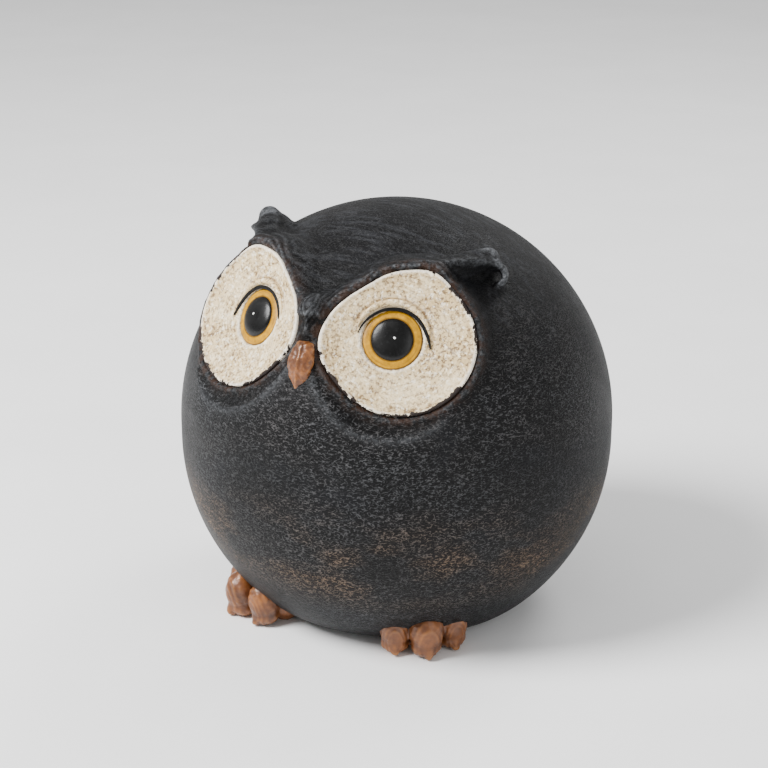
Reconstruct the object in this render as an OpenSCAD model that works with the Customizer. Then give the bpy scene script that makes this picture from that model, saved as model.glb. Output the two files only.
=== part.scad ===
// Round painted owl figurine, cast in separate pieces that are glued together.
// Millimetres. The owl faces -Y, +X is its left side, and z = 0 is the surface it stands on.

/* [Body] */
// Width of the round body at its widest line
body_w = 240; // [200:1:300]
// Height of the straight band between the upper and the lower half dome
body_belt = 9; // [0:1:30]
// Diameter of the flat underside
base_flat_d = 141.3; // [115:0.1:172]
// Thickness of the cast wall
wall = 7; // [5:0.5:10]
// Thickness of the floor round the base opening
floor_t = 10; // [8:0.5:14]

/* [Base] */
// Width of the floor ring between the base opening and the edge of the underside
floor_ring_w = 28.65; // [24:0.05:34]
// Thickness of the base plate
base_plate_t = 5; // [4:0.5:6]
// Width of the step in the floor that the base plate is glued against
base_step_w = 4; // [3:0.5:8]
// Diameter of the vent hole in the base plate
vent_d = 16; // [10:0.5:24]
// How far the vent plug's head reaches past the vent's edge
plug_head_w = 3; // [2:0.5:5]
// Thickness of the vent plug's head
plug_head_t = 1.5; // [1:0.1:2]
// Height of the plug's lip above the base plate
plug_lip_t = 1.2; // [1:0.1:2]
// Diameter of one felt pad
pad_d = 12; // [8:0.5:14]
// Thickness of one felt pad
pad_t = 1.5; // [1:0.1:3]
// Gap between the base opening and the felt pads
pad_gap = 5; // [2:0.5:8]
// Number of felt pads
pad_count = 4; // [3:1:6]

/* [Face discs] */
// Diameter of one face disc
disc_d = 76; // [62:0.2:92]
// Thickness of a face disc at its rim
disc_t = 7; // [5.8:0.1:9]
// Depth of the hollow in a face disc's front
disc_dish = 4; // [1:0.5:4.5]
// Gap between the two discs at the beak
face_gap = 21.5; // [18:0.5:26]
// Height of a disc's centre, in degrees up the front of the upper dome
disc_lift = 37.45; // [34:0.05:41]
// How far a disc's centre lies below the surface of the upper dome
disc_sink = 2.9; // [1:0.1:5]
// How far each disc turns outward from straight ahead, in degrees
disc_turn = 23.5; // [18:0.5:28]
// How far each disc tips back from upright, in degrees
disc_tip = 26.3; // [20:0.1:32]
// Width of the body's raised rim around a disc
rim_w = 5; // [3:0.5:6]
// How far the raised rim stays below a disc's edge
rim_step = 0.8; // [0.5:0.1:2]
// Diameter of the locating spigot behind the eye
spigot_d = 14; // [12:0.5:18]
// Length of the locating spigot
spigot_l = 4.5; // [3:0.5:6]

/* [Eyes] */
// Diameter of the yellow iris ring
iris_d = 30.4; // [25:0.2:37]
// Thickness of the iris ring
iris_t = 2; // [1.5:0.1:2.2]
// Diameter of the pupil
pupil_d = 21.6; // [16:0.2:23]
// How far the pupil's dome rises above its edge
pupil_dome = 2.6; // [1:0.1:4]
// Diameter of the pupil's stem
stem_d = 6; // [4:0.5:8]
// Length of the pupil's stem below the iris ring
stem_l = 4; // [3:0.5:5]
// How far the eye sits towards the beak from the disc's centre
eye_in = 4.4; // [0:0.1:8]
// How far the eye sits above the disc's centre
eye_up = 2.6; // [0:0.1:8]
// Thickness of the rounded eyelid
lid_d = 3.2; // [2.4:0.1:4]
// Gap in the disc's surface between the iris and the eyelid
lid_space = 1.2; // [0.8:0.1:3]
// Sweep of the eyelid round the top of the eye, in degrees
lid_sweep = 150; // [90:1:180]

/* [Brows] */
// Width of the brow that lies along a disc's upper edge
brow_w = 6; // [5:0.5:7]
// Depth of the brow below a disc's edge
brow_depth = 5; // [4:0.5:5.5]
// How far the brow stands above a disc's edge
brow_rise = 3; // [1:0.5:5]
// Where the brow leaves the disc, in degrees up from the disc's outer side
brow_start = 64; // [55:1:75]
// Sweep of the brow towards the beak, in degrees
brow_sweep = 100; // [80:1:104]
// Thickness of the ear tuft at its root
tuft_root_d = 13; // [10:0.5:16]
// Thickness of the ear tuft at its middle
tuft_mid_d = 17; // [12:0.5:18]
// Thickness of the ear tuft at its tip
tuft_tip_d = 11; // [8:0.5:14]
// How far the tuft's tip reaches outward past a disc's edge
tuft_out = 11; // [6:0.5:16]
// How far the tuft's tip reaches above a disc's edge
tuft_up = 15; // [10:0.5:20]
// Height of the tuft's tip above the surface of the upper dome
tuft_stand = 8.4; // [5:0.2:12]
// Diameter of the peg below the brow
brow_peg_d = 4; // [3:0.5:4.5]
// Length of the peg below the brow
brow_peg_l = 5; // [3:0.5:6]

/* [Beak] */
// Length of the beak
beak_l = 24; // [18:0.5:26]
// Width of the beak at its widest
beak_w = 13; // [10:0.5:15]
// How far the beak's ridge stands out of the body
beak_rise = 7; // [5:0.5:10]
// Height of the beak's middle, in degrees up the front of the upper dome
beak_lift = 28.6; // [26:0.2:31]
// Diameter of the peg behind the beak
beak_peg_d = 5; // [4:0.5:6]
// Length of the peg behind the beak
beak_peg_l = 4; // [3:0.5:4.5]

/* [Feet] */
// Direction of each foot, in degrees from straight ahead
foot_turn = 39; // [34:1:46]
// Angle between neighbouring toes, seen from the body's axis
toe_fan = 11; // [10:0.5:13]
// Thickness of a toe
toe_d = 17; // [14:0.5:18]
// Height of a toe at its front knuckle
toe_h = 22; // [19:0.5:24]
// How far the middle toe reaches past the edge of the underside
toe_out = 28.85; // [24:0.05:34]
// How much further the middle toe reaches than its neighbours
toe_lead = 8; // [2:0.5:10]
// Thickness of a toe's claw tip
claw_d = 8; // [6:0.5:9]
// Diameter of the peg behind each foot
foot_peg_d = 5; // [4:0.5:5.5]
// Length of the peg behind each foot
foot_peg_l = 12; // [8:0.5:14]

/* [Fit] */
// Glue gap left between neighbouring pieces
glue_gap = 0.2; // [0.1:0.05:0.4]

/* [Hidden] */
$fn = 64;

charcoal = "#2f3033";
cream = "#e0d6c2";
ochre = "#dfa21e";
gloss_black = "#141415";
copper = "#b3773f";
felt_grey = "#4a4744";
rubber_black = "#222222";

body_r = body_w / 2;
disc_r = disc_d / 2;
base_flat_r = base_flat_d / 2;
// Height of the lower dome's centre, so that the dome is as wide as the underside where it is cut
dome_low = pad_t + sqrt(body_r * body_r - base_flat_r * base_flat_r);
body_mid = dome_low + body_belt / 2;
dome_high = body_mid + body_belt / 2;

// Place of the left disc's centre, which lies disc_sink below the upper dome
disc_mid_r = body_r - disc_sink;
disc_x = face_gap / 2 + disc_r * cos(disc_turn);
disc_up = disc_mid_r * sin(disc_lift);
disc_front = sqrt(disc_mid_r * disc_mid_r - disc_up * disc_up - disc_x * disc_x);
rim_r = disc_r + rim_w;
// Reach of cuts and cutting planes past everything else
big = 3 * body_w;
clear = 30;

seat_d = disc_t + glue_gap;
spigot_floor = 3;
block_depth = disc_t + spigot_l + 2 * glue_gap + spigot_floor;
block_r = disc_r + brow_w + 4;

iris_r = iris_d / 2;
pupil_r = pupil_d / 2;
dish_r = (disc_r * disc_r + disc_dish * disc_dish) / (2 * disc_dish);
eye_off = norm([eye_in, eye_up]);
// Depth of the dish where the eye sits
eye_depth = disc_dish - (dish_r - sqrt(dish_r * dish_r - eye_off * eye_off));
iris_top = -eye_depth + 0.6;
iris_floor = iris_top - iris_t;
pupil_edge = 0.8;
pupil_dome_r = (pupil_r * pupil_r + pupil_dome * pupil_dome) / (2 * pupil_dome);

lid_ring_r = iris_r + lid_space + lid_d / 2;
lid_start = 18;
lid_z = -eye_depth + 0.9;
lid_bed = 2;

beak_half = beak_l / 2;
// The beak's back lies beak_sink inside the dome and leans back from upright by beak_lean
beak_sink = 2;
beak_base_r = body_r - beak_sink;
beak_lean = 0.64 * beak_lift;
beak_back = 6;
base_open_d = base_flat_d - 2 * floor_ring_w;
plate_recess = plug_head_t + glue_gap;
plug_head_d = vent_d + 2 * plug_head_w;
pad_ring_r = base_open_d / 2 + pad_gap + pad_d / 2;

toe_reach = base_flat_r + toe_out;
// A foot's peg lies in the middle of the floor's thickness and starts peg_root inside the foot
peg_root = 3;
// Distances of a toe's two knuckles behind its tip
toe_root = 28;
toe_front = 11;
foot_peg_z = pad_t + floor_t / 2;
foot_peg_end = sqrt(body_r * body_r - pow(dome_low - foot_peg_z, 2)) + peg_root;

// Axes of the left disc, and its centre from the upper dome's centre
disc_out_axis = [cos(disc_turn), sin(disc_turn), 0];
disc_face_axis = [sin(disc_turn) * cos(disc_tip), -cos(disc_turn) * cos(disc_tip), sin(disc_tip)];
disc_up_axis = cross(disc_face_axis, disc_out_axis);
disc_mid = [disc_x, -disc_front, disc_up];
// The rim reaches down through the dome's surface, even where the dome falls away most
rim_root = 3;
disc_stand = disc_mid * disc_face_axis;
disc_aside = norm(disc_mid - disc_stand * disc_face_axis);
rim_depth = disc_stand - sqrt(body_r * body_r - pow(disc_aside + rim_r, 2)) + rim_root;

// The tuft's tip in the disc's axes: as far back as it takes to stand tuft_stand off the dome
tuft_x = disc_r + tuft_out;
tuft_y = disc_r + tuft_up;
tuft_arm = disc_mid + tuft_x * disc_out_axis + tuft_y * disc_up_axis;
tuft_ahead = tuft_arm * disc_face_axis;
tuft_back = tuft_ahead
    - sqrt(tuft_ahead * tuft_ahead - tuft_arm * tuft_arm + pow(body_r + tuft_stand, 2));

// A left-hand form, or its mirror image on the owl's right
module on_side(side) {
    if (side == "left") children();
    else mirror([1, 0, 0]) children();
}

// Moves a form to a face disc's own place: x outward, y up along the disc, z out of its face
module at_disc() {
    translate([disc_x, -disc_front, dome_high + disc_up])
        rotate([0, 0, disc_turn]) rotate([90 - disc_tip, 0, 0]) children();
}

module at_eye() {
    at_disc() translate([-eye_in, eye_up, 0]) children();
}

// Round body: two half domes and the band between them, grown by a margin
module body_oval(grow = 0) {
    r = body_r + grow;
    translate([0, 0, body_mid])
        rotate_extrude($fn = 180) intersection() {
            union() {
                translate([0, body_belt / 2]) circle(r, $fn = 180);
                translate([0, -body_belt / 2]) circle(r, $fn = 180);
                translate([-r, -body_belt / 2]) square([2 * r, body_belt]);
            }
            translate([0, -big]) square([big, 2 * big]);
        }
}

module above(height) {
    translate([-big, -big, height]) cube([2 * big, 2 * big, big]);
}

// Raised round rim that carries a face disc, with the block behind it
module disc_rim(grow = 0) {
    translate([0, 0, -rim_depth]) cylinder(h = rim_depth - rim_step + grow, r = rim_r + grow);
}

module disc_block() {
    translate([0, 0, -block_depth]) cylinder(h = block_depth, r = block_r);
}

// Curved bar of the brow along the disc's upper edge, grown by a margin
module brow_bar(grow = 0) {
    inner = disc_r + glue_gap - grow;
    more = grow / disc_r * 180 / PI;
    rotate_extrude(angle = brow_sweep + 2 * more, start = brow_start - more)
        translate([inner, -brow_depth - grow]) square([brow_w + 2 * grow, brow_depth + brow_rise + 2 * grow]);
}

module brow_peg(grow = 0) {
    middle = brow_start + brow_sweep / 2;
    rotate([0, 0, middle]) translate([disc_r + brow_w / 2, 0, -brow_depth - brow_peg_l - grow])
        cylinder(h = brow_peg_l + grow + 1, d = brow_peg_d + 2 * grow);
}

// Rounded horn from the end of the brow bar, up and outward to the tuft's tip
module tuft() {
    steps = 14;
    start_r = disc_r + brow_w / 2;
    root = [start_r * cos(brow_start), start_r * sin(brow_start), -1];
    run = [tuft_x, tuft_y, -tuft_back] - root;
    length = norm(run);
    bulge = tuft_mid_d - (tuft_root_d + tuft_tip_d) / 2;
    translate(root) rotate([0, acos(run.z / length), atan2(run.y, run.x)])
        rotate_extrude() polygon([
            for (i = [0 : steps]) let (t = i / steps)
                [
                    (tuft_root_d * (1 - t) + tuft_tip_d * t + bulge * sin(180 * t)) / 2
                        * sqrt(1 - pow(abs(2 * t - 1), 5)),
                    -tuft_root_d / 2 + t * (length + tuft_root_d / 2)
                ]
        ]);
}

// Pointed, ridged beak around its own middle: y points forward out of the body as -y
module beak_form(grow = 0) {
    half_w = beak_w / 2 + grow;
    half_l = beak_half + grow;
    out = beak_rise + grow;
    // Widest a little above the middle, with a flat top and a blunt tip
    widest = half_l * 0.1;
    edge = 1;
    hull() {
        translate([-half_w * 0.75, 0, half_l - edge]) cube([half_w * 1.5, beak_back, edge]);
        translate([-half_w, 0, widest]) cube([2 * half_w, beak_back, edge]);
        translate([-0.6, 0, -half_l]) cube([1.2, beak_back, edge]);
        translate([-1, -out, widest]) cube([2, edge, 2]);
        translate([-1, -out * 0.6, half_l - edge]) cube([2, edge, edge]);
        translate([-0.5, -out * 0.55, -half_l]) cube([1, edge, edge]);
    }
}

// The beak's middle lies on the body's front, tipped to follow its slope
module at_beak() {
    translate([0, 0, dome_high]) rotate([-beak_lift, 0, 0]) translate([0, -beak_base_r, 0])
        rotate([beak_lift - beak_lean, 0, 0]) children();
}

module beak_peg(grow = 0) {
    hold = 1.5;
    translate([0, beak_back - hold, 0]) rotate([-90, 0, 0])
        cylinder(h = beak_peg_l + hold + grow, d = beak_peg_d + 2 * grow);
}

// One toe along +x from the body's axis, taller than it is wide
module toe(reach) {
    // The balls sink a little into the ground, where the foot is cut flat
    knuckle = toe_d / 2 - 0.5;
    claw = claw_d / 2 - 0.3;
    hull() {
        translate([reach - toe_root, 0, knuckle + 1]) sphere(d = toe_d, $fn = 24);
        translate([reach - toe_front, 0, knuckle]) sphere(d = toe_d, $fn = 24);
        translate([reach - toe_front, 0, toe_h - toe_d / 2]) sphere(d = toe_d, $fn = 24);
        translate([reach - claw_d / 2, 0, claw]) sphere(d = claw_d, $fn = 24);
    }
}

module at_foot() {
    rotate([0, 0, foot_turn - 90]) children();
}

module foot_peg(grow = 0) {
    length = foot_peg_l + peg_root;
    translate([foot_peg_end - length - grow, 0, foot_peg_z]) rotate([0, 90, 0])
        cylinder(h = length + 2 * grow, d = foot_peg_d + 2 * grow);
}

// Hollow cast body with its rims, seats, sockets and base opening
module body_shell() {
    color(charcoal) difference() {
        union() {
            intersection() {
                body_oval();
                above(pad_t);
            }
            for (side = ["left", "right"]) on_side(side) at_disc() disc_rim();
        }
        difference() {
            intersection() {
                body_oval(-wall);
                above(pad_t + floor_t);
            }
            for (side = ["left", "right"]) on_side(side) at_disc() disc_block();
        }
        translate([0, 0, -1]) cylinder(h = pad_t + base_plate_t + glue_gap + 1, d = base_open_d);
        cylinder(h = pad_t + floor_t + 1, d = base_open_d - 2 * base_step_w);
        for (side = ["left", "right"]) on_side(side) {
            at_disc() {
                translate([0, 0, -seat_d]) cylinder(h = seat_d + clear, r = disc_r + glue_gap);
                brow_bar(glue_gap);
                brow_peg(glue_gap);
            }
            at_eye() translate([0, 0, -seat_d - spigot_l - glue_gap])
                cylinder(h = spigot_l + 1, d = spigot_d + 2 * glue_gap);
            at_foot() foot_peg(glue_gap);
        }
        at_beak() {
            beak_form(glue_gap);
            beak_peg(glue_gap);
        }
    }
}

// Disc that closes the base, with a hole and a shallow recess for the vent plug
module base_plate() {
    color(charcoal) translate([0, 0, pad_t]) difference() {
        cylinder(h = base_plate_t, d = base_open_d - 2 * glue_gap);
        translate([0, 0, -1]) cylinder(h = base_plate_t + 2, d = vent_d);
        translate([0, 0, -1]) cylinder(h = plate_recess + 1, d = plug_head_d + 2 * glue_gap);
    }
}

module vent_plug() {
    lip_z = base_plate_t + glue_gap;
    color(rubber_black) translate([0, 0, pad_t]) {
        cylinder(h = plug_head_t, d = plug_head_d);
        cylinder(h = lip_z + plug_lip_t, d = vent_d - 2 * glue_gap);
        translate([0, 0, lip_z]) cylinder(h = plug_lip_t, d1 = vent_d + 1.2, d2 = vent_d - 1);
    }
}

module felt_pads() {
    color(felt_grey) for (i = [0 : pad_count - 1])
        rotate([0, 0, 45 + i * 360 / pad_count]) translate([pad_ring_r, 0, 0]) cylinder(h = pad_t, d = pad_d);
}

// Round hollow in a disc's front, deepest at its middle
module dish_hollow() {
    steps = 10;
    rotate_extrude() polygon([
        [0, 10],
        for (i = [0 : steps]) let (r = disc_r * 1.02 * i / steps)
            [r, dish_r - disc_dish - sqrt(dish_r * dish_r - r * r)],
        [disc_r * 1.02, 10]
    ]);
}

// Shallow dish with a spigot behind the eye, a seat for the iris and a groove for the lid
module face_disc(side) {
    color(cream) on_side(side) difference() {
        union() {
            at_disc() translate([0, 0, -disc_t]) cylinder(h = disc_t, r = disc_r);
            at_eye() translate([0, 0, -disc_t - spigot_l]) cylinder(h = spigot_l + 1, d = spigot_d);
        }
        at_disc() dish_hollow();
        at_eye() {
            translate([0, 0, iris_floor - glue_gap]) cylinder(h = clear, r = iris_r + glue_gap);
            translate([0, 0, iris_floor - stem_l - glue_gap])
                cylinder(h = stem_l + 2, d = stem_d + 2 * glue_gap);
            lid_foot(glue_gap);
        }
    }
}

module iris(side) {
    color(ochre) on_side(side) at_eye() translate([0, 0, iris_floor]) difference() {
        cylinder(h = iris_t, r = iris_r);
        translate([0, 0, -1]) cylinder(h = iris_t + 2, r = pupil_r + glue_gap);
    }
}

module pupil(side) {
    edge_z = iris_top + pupil_edge;
    color(gloss_black) on_side(side) at_eye() union() {
        intersection() {
            translate([0, 0, iris_floor]) cylinder(h = clear, r = pupil_r);
            translate([0, 0, edge_z + pupil_dome - pupil_dome_r]) sphere(pupil_dome_r);
        }
        translate([0, 0, iris_floor - stem_l]) cylinder(h = stem_l + 1, d = stem_d);
    }
}

// Flat foot of the eyelid, which sits in a groove of the same outline
module lid_foot(grow = 0) {
    more = grow / lid_ring_r * 180 / PI;
    rotate_extrude(angle = lid_sweep + 2 * more, start = lid_start - more)
        translate([lid_ring_r - lid_d / 2 - grow, lid_z - lid_bed - grow])
            square([lid_d + 2 * grow, lid_bed + (grow > 0 ? 10 : 0)]);
}

// Half-round bead bent over the eye
module eyelid(side) {
    color(cream) on_side(side) at_eye() {
        lid_foot();
        rotate_extrude(angle = lid_sweep, start = lid_start) intersection() {
            translate([lid_ring_r, lid_z]) circle(d = lid_d);
            translate([lid_ring_r - lid_d, lid_z]) square([2 * lid_d, lid_d]);
        }
    }
}

// Brow bar in its groove, running out into an ear tuft that rests on the body
module brow(side) {
    color(charcoal) on_side(side) {
        at_disc() {
            brow_bar();
            brow_peg();
        }
        difference() {
            at_disc() tuft();
            body_oval(glue_gap);
            at_disc() disc_rim(glue_gap);
            at_disc() translate([0, 0, -disc_t]) cylinder(h = disc_t + clear, r = disc_r + 2 * glue_gap);
        }
    }
}

module beak() {
    color(copper) at_beak() {
        beak_form();
        beak_peg();
    }
}

// Three toes in one casting, hollowed behind to sit against the round body
module foot(side) {
    color(copper) on_side(side) {
        difference() {
            intersection() {
                at_foot() {
                    for (i = [-1, 0, 1])
                        rotate([0, 0, i * toe_fan]) toe(toe_reach - abs(i) * toe_lead);
                }
                above(0);
            }
            body_oval(glue_gap);
        }
        at_foot() foot_peg();
    }
}

body_shell();
base_plate();
vent_plug();
felt_pads();
face_disc("left");  // face_disc_left
face_disc("right");  // face_disc_right
iris("left");  // iris_left
iris("right");  // iris_right
pupil("left");  // pupil_left
pupil("right");  // pupil_right
eyelid("left");  // eyelid_left
eyelid("right");  // eyelid_right
brow("left");  // brow_left
brow("right");  // brow_right
beak();
foot("left");  // foot_left
foot("right");  // foot_right
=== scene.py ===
# %% [markdown]
# # A round owl figurine
# The figure is a hollow cast of stone-filled resin, painted by hand: a dark, satin body with a
# lighter dry-brushed grain, two cream face discs, ochre-ringed eyes, a copper beak and copper feet.
# The CAD frame fixes every size and place. Each visible piece is modelled again here as a sculptor
# would model it in clay, and stands for its CAD node.

# %% Load the frame
import math
import bmesh
import bpy
from mathutils import Matrix, Vector, noise


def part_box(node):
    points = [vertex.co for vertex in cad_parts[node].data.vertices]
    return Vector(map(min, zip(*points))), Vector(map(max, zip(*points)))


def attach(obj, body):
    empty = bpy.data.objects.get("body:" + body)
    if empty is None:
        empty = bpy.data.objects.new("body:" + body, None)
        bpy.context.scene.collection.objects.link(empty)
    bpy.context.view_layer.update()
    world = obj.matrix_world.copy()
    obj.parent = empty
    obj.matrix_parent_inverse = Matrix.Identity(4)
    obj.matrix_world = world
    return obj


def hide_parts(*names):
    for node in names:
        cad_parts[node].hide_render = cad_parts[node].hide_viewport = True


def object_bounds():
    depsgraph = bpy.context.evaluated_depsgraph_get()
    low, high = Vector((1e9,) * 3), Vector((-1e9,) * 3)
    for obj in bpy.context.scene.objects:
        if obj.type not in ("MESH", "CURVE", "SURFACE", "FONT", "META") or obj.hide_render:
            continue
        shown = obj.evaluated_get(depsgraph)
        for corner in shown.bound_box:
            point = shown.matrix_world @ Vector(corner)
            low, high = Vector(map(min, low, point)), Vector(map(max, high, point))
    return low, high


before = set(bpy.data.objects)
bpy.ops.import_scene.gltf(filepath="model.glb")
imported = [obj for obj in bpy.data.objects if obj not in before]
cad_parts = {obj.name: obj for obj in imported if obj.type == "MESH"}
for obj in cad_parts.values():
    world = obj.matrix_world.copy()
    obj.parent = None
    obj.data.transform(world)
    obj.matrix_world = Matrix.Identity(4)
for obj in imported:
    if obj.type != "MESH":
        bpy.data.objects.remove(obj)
cad_low, cad_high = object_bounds()
MM = 0.001
print("CAD box, mm:", [round(v / MM, 1) for v in (*cad_low, *cad_high)])

# %% [markdown]
# ## Places taken from the frame
# A face disc has its own axes: x outward, y up along the disc, z straight out of its face. The eye
# ring's CAD box is centred on the eye, so the discs' places follow from it and from the two
# angles that the discs are turned and tipped by. The owl's right side is the left side mirrored.

# %% Driving sizes and the face disc's own axes
TURN, TIP = math.radians(23.5), math.radians(26.3)
EYE_IN, EYE_UP = 4.4 * MM, 2.6 * MM
DISC_R = 38 * MM
DISH = 4 * MM
IRIS_R, PUPIL_R = 15.2 * MM, 10.8 * MM
out_axis = Vector((math.cos(TURN), math.sin(TURN), 0))
face_axis = Vector((math.sin(TURN) * math.cos(TIP), -math.cos(TURN) * math.cos(TIP), math.sin(TIP)))
up_axis = face_axis.cross(out_axis)

iris_low, iris_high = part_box("iris_left")
DISH_R = (DISC_R ** 2 + DISH ** 2) / (2 * DISH)
eye_off = math.hypot(EYE_IN, EYE_UP)
eye_depth = DISH - (DISH_R - math.sqrt(DISH_R ** 2 - eye_off ** 2))
iris_mid = -eye_depth + 0.6 * MM - 1 * MM
disc_place = (iris_low + iris_high) / 2 + out_axis * EYE_IN - up_axis * EYE_UP - face_axis * iris_mid
DISC = Matrix.Translation(disc_place) @ Matrix((
    (out_axis.x, up_axis.x, face_axis.x, 0),
    (out_axis.y, up_axis.y, face_axis.y, 0),
    (out_axis.z, up_axis.z, face_axis.z, 0),
    (0, 0, 0, 1)))
EYE = DISC @ Matrix.Translation((-EYE_IN, EYE_UP, 0))
MIRROR = Matrix.Scale(-1, 4, (1, 0, 0))

body_low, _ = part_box("body_shell")
BODY_R = (cad_high.x - cad_low.x) / 2
BASE_Z = body_low.z
BELT = 9 * MM
BODY_MID = cad_high.z - BODY_R - BELT / 2
print("disc centre, mm:", [round(v / MM, 1) for v in disc_place], "body middle", round(BODY_MID / MM, 1))

# %% [markdown]
# ## Camera
# The owl is seen from its left front and from a little above, through a long lens, so its round
# body keeps its shape. The camera comes first because everything else is judged through it.

# %% Camera
VIEW_TURN, VIEW_UP = math.radians(28.7), math.radians(19.8)
VIEW_DISTANCE = 1.1256
LENS, SENSOR, FRAME_WIDE = 94.2, 36, 768
# Where the body's middle sits in the frame, as shares of the frame's width from its centre
AIM_RIGHT, AIM_DOWN = 12.6 / FRAME_WIDE, 35.1 / FRAME_WIDE

back = Vector((math.sin(VIEW_TURN) * math.cos(VIEW_UP), -math.cos(VIEW_TURN) * math.cos(VIEW_UP),
               math.sin(VIEW_UP)))
right = Vector((math.cos(VIEW_TURN), math.sin(VIEW_TURN), 0))
up = back.cross(right)
spread = VIEW_DISTANCE * SENSOR / LENS
camera = bpy.data.objects.new("camera", bpy.data.cameras.new("camera"))
camera.data.lens = LENS
camera.data.sensor_width = SENSOR
camera.location = (Vector((0, 0, BODY_MID)) + back * VIEW_DISTANCE
                   - right * AIM_RIGHT * spread + up * AIM_DOWN * spread)
camera.rotation_euler = Matrix((right, up, back)).transposed().to_euler()
bpy.context.scene.collection.objects.link(camera)
bpy.context.scene.camera = camera
print("camera at", [round(v, 3) for v in camera.location])

# %% [markdown]
# ## Small helpers
# Each piece starts as a bmesh and ends as an object that sits at the origin, unturned, with its
# place in its mesh. `clay` turns loose balls and blocks into one watertight skin, as pressed clay
# would join, by rebuilding them from small cubes and then smoothing the steps away.

# %% Helpers for meshes
def finish_piece(bm, name, node, smooth=True):
    """Makes an object of a bmesh, which rides on the root and stands for a CAD node."""
    mesh = bpy.data.meshes.new(name)
    bm.to_mesh(mesh)
    bm.free()
    for face in mesh.polygons:
        face.use_smooth = smooth
    piece = bpy.data.objects.new(name, mesh)
    bpy.context.scene.collection.objects.link(piece)
    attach(piece, "root")
    if node:
        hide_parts(node)
    print(f"{name}: {sum(len(f.vertices) - 2 for f in mesh.polygons)} triangles")
    return piece


def clay(bm, cube, passes):
    """Rebuilds overlapping closed forms as one skin and smooths it."""
    mesh = bpy.data.meshes.new("clay")
    bm.to_mesh(mesh)
    bm.free()
    lump = bpy.data.objects.new("clay", mesh)
    bpy.context.scene.collection.objects.link(lump)
    remesh = lump.modifiers.new("remesh", "REMESH")
    remesh.mode = "VOXEL"
    remesh.voxel_size = cube
    graph = bpy.context.evaluated_depsgraph_get()
    skin = bmesh.new()
    skin.from_mesh(lump.evaluated_get(graph).to_mesh())
    bpy.data.objects.remove(lump)
    for _ in range(passes):
        bmesh.ops.smooth_vert(skin, verts=skin.verts, factor=0.5,
                              use_axis_x=True, use_axis_y=True, use_axis_z=True)
    return skin


def ball(bm, place, radii, turn=None):
    """Adds one ball of clay, stretched to three radii."""
    if not isinstance(radii, (tuple, list)):
        radii = (radii,) * 3
    shape = Matrix.Translation(place) @ (turn or Matrix.Identity(4)) @ Matrix.Diagonal((*radii, 1))
    bmesh.ops.create_icosphere(bm, subdivisions=3 if max(radii) > 5 * MM else 2, radius=1, matrix=shape)


def ease(x):
    """Smooth step from 0 to 1."""
    x = min(max(x, 0), 1)
    return x * x * (3 - 2 * x)

# %% [markdown]
# ## Materials
# Everything but the rubber and the felt is paint on cast resin. The charcoal body paint is laid on
# in short strokes; when it is dry, a nearly dry brush drags light grey and tan paint over it, and
# that catches only on the high grain. The patterns' sizes are real ones: a stroke is about 1 mm
# long and the mottling about 16 mm. Two attributes that are worked out on each mesh say where the
# surface stands proud (`ridge`) and where it is hollow (`crease`): rubbed paint shows on the first,
# on the copper also a painted highlight, and the second is darkened as dark wash and painted shade.

# %% Helpers for materials
def linear(hex_colour):
    """sRGB hex to linear RGBA."""
    channels = [int(hex_colour[i:i + 2], 16) / 255 for i in (1, 3, 5)]
    return (*[c / 12.92 if c <= 0.04045 else ((c + 0.055) / 1.055) ** 2.4 for c in channels], 1)


def new_material(name):
    material = bpy.data.materials.new(name)
    material.use_nodes = True
    tree = material.node_tree
    tree.nodes.clear()
    return material, tree


def add(tree, kind, settings=None, **links):
    """Adds one node. Links name an input socket, with spaces as _, and give a value or a socket."""
    node = tree.nodes.new("ShaderNode" + kind)
    for key, value in (settings or {}).items():
        setattr(node, key, value)
    for key, value in links.items():
        by_place = key[0] == "i" and key[1:].isdigit()
        socket = node.inputs[int(key[1:]) if by_place else key.replace("_", " ")]
        if isinstance(value, bpy.types.NodeSocket):
            tree.links.new(value, socket)
        else:
            socket.default_value = value
    return node


def ramp(tree, factor, *stops):
    """Colour ramp of (place, grey or colour) stops."""
    node = add(tree, "ValToRGB", Fac=factor)
    bar = node.color_ramp.elements
    while len(bar) < len(stops):
        bar.new(0.5)
    for element, (place, colour) in zip(bar, stops):
        element.position = place
        element.color = colour if isinstance(colour, tuple) else (colour, colour, colour, 1)
    return node.outputs["Color"]


def math_node(tree, operation, first, second=0.5, clamp=False):
    return add(tree, "Math", {"operation": operation, "use_clamp": clamp}, i0=first, i1=second).outputs[0]


def mix(tree, factor, first, second, blend="MIX"):
    node = add(tree, "Mix", {"data_type": "RGBA", "blend_type": blend})
    for index, value in ((0, factor), (6, first), (7, second)):
        if isinstance(value, bpy.types.NodeSocket):
            tree.links.new(value, node.inputs[index])
        else:
            node.inputs[index].default_value = value
    return node.outputs[2]


def grain(tree, vector, size_mm, kind="FBM", detail=4, rough=0.6, warp=0.0):
    """Noise whose grains are about size_mm across."""
    return add(tree, "TexNoise", {"noise_type": kind, "normalize": True}, Vector=vector,
               Scale=1000 / size_mm / 2, Detail=detail, Roughness=rough,
               Distortion=warp).outputs["Fac"]


def attribute(tree, name):
    return add(tree, "Attribute", {"attribute_name": name}).outputs["Fac"]


def surface(tree, colour, rough, height, depth_mm, **constants):
    """Paint shader with a bump whose full height is depth_mm."""
    bump = add(tree, "Bump", Strength=1.0, Distance=depth_mm * MM, Height=height)
    shader = add(tree, "BsdfPrincipled", Base_Color=colour, Roughness=rough,
                 Normal=bump.outputs["Normal"], **constants)
    out = add(tree, "OutputMaterial")
    tree.links.new(shader.outputs["BSDF"], out.inputs["Surface"])


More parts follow.
